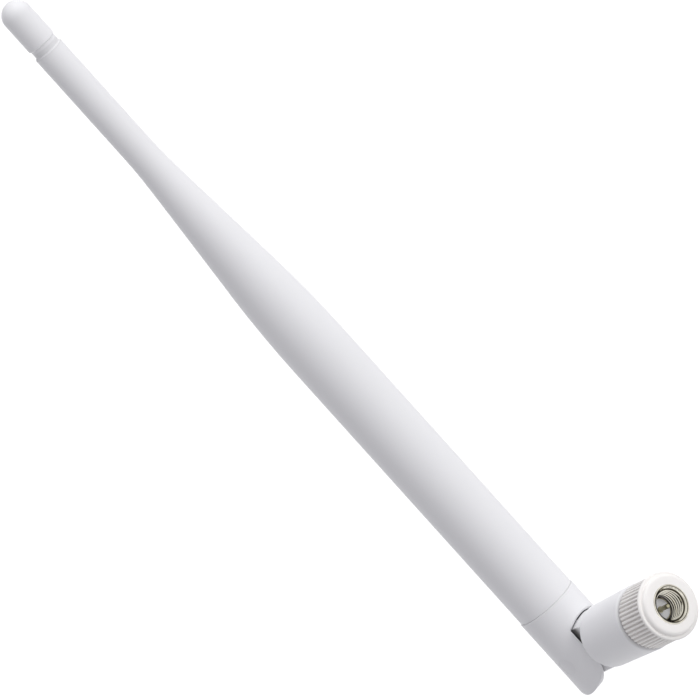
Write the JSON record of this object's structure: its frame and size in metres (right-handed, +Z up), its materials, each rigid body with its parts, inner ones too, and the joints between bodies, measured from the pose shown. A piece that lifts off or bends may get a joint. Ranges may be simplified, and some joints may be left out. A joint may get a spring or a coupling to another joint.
{
  "type": "wifi antenna",
  "caption": "White rod antenna, bent at a tilt hinge, on a swivel sleeve with a knurled, threaded coaxial plug.",
  "frame": {"origin": "centre of the plug's reference plane, where the centre pin leaves the insulator", "axes": "-Y along the plug's axis, the way the mating socket leaves; +Z up along the rod at rest; X along the tilt axis"},
  "size_m": [0.0132, 0.0372, 0.1715],
  "materials": {
    "white_plastic": "satin moulded white",
    "collar_plastic": "satin moulded warm white",
    "pin_plastic": "satin white",
    "bush_plastic": "natural acetal",
    "washer_rubber": "matt black",
    "spring_steel": "bright steel",
    "nickel_plate": "nickel-plated brass",
    "pin_plate": "plated brass",
    "insulator_white": "waxy white fluoropolymer",
    "cable_jacket": "translucent brown jacket",
    "bare_brass": "drawn brass",
    "shrink_tube": "black shrink tube",
    "copper_wire": "enamelled copper wire"
  },
  "bodies": {
    "connector": {"contact_body": "nickel_plate", "insulator": "insulator_white", "centre_pin": "pin_plate", "snap_ring": "spring_steel", "swivel_clip": "spring_steel", "crimp_ferrule": "nickel_plate"},
    "coupling_nut": {"thread_insert": "nickel_plate", "knurled_collar": "collar_plastic"},
    "swivel": {"swivel_sleeve": "white_plastic", "swivel_bush": "bush_plastic", "friction_washer": "washer_rubber"},
    "mast": {"hinge_fork": "white_plastic", "hinge_pin_left": "pin_plastic", "hinge_pin_right": "pin_plastic", "radome": "white_plastic", "tip_cap": "white_plastic", "coax_cable": "cable_jacket", "balun_tube": "bare_brass", "balun_end_disc": "bare_brass", "balun_spacer": "bush_plastic", "feed_sleeve": "shrink_tube", "radiator": "copper_wire", "wire_spacer": "bush_plastic"}
  },
  "joints": [
    {"name": "nut_spin", "type": "hinge", "parent": "connector", "child": "coupling_nut", "pos_m": [0, 0, 0], "axis": [0, -1, 0], "continuous": true},
    {"name": "swivel", "type": "hinge", "parent": "connector", "child": "swivel", "pos_m": [0, 0, 0], "axis": [0, -1, 0], "range_deg": [-180, 180]},
    {"name": "tilt", "type": "hinge", "parent": "swivel", "child": "mast", "pos_m": [0, 0.027, 0], "axis": [-1, 0, 0], "range_deg": [0, 90], "deforming": ["coax_cable"]}
  ]
}
